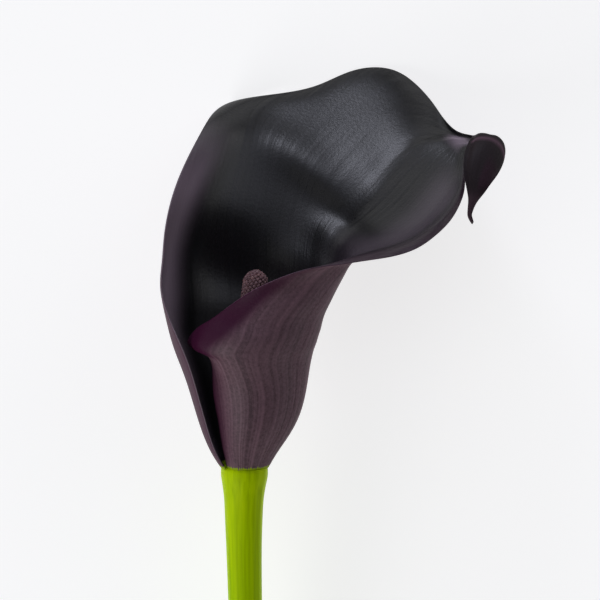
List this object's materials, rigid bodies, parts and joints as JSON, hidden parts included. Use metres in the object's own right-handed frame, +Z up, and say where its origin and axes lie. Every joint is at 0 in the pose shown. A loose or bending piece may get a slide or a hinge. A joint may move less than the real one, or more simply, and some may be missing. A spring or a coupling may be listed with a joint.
{
  "type": "arum lily flower",
  "caption": "Cut arum lily: a near-black, funnel-shaped spathe with a folded, pointed tip, wrapped round a dusky spadix on a bright green stem. It lies on its back.",
  "frame": {"origin": "on the surface that the flower lies on, under the middle of its bounding box", "axes": "+Z up, +Y along the flower from the cut end of the stem to the bloom, +X towards the side that the pointed tip hangs on"},
  "size_m": [0.0932, 0.2586, 0.061],
  "materials": {
    "stem": "smooth, satin, fresh green plant stalk",
    "spathe": "satin, near black inside and dusky purple outside, finely veined",
    "spadix": "matt, dusky rose, covered in tiny florets"
  },
  "bodies": {
    "root": {"stem": "stem", "spathe": "spathe", "spadix": "spadix"}
  },
  "joints": []
}
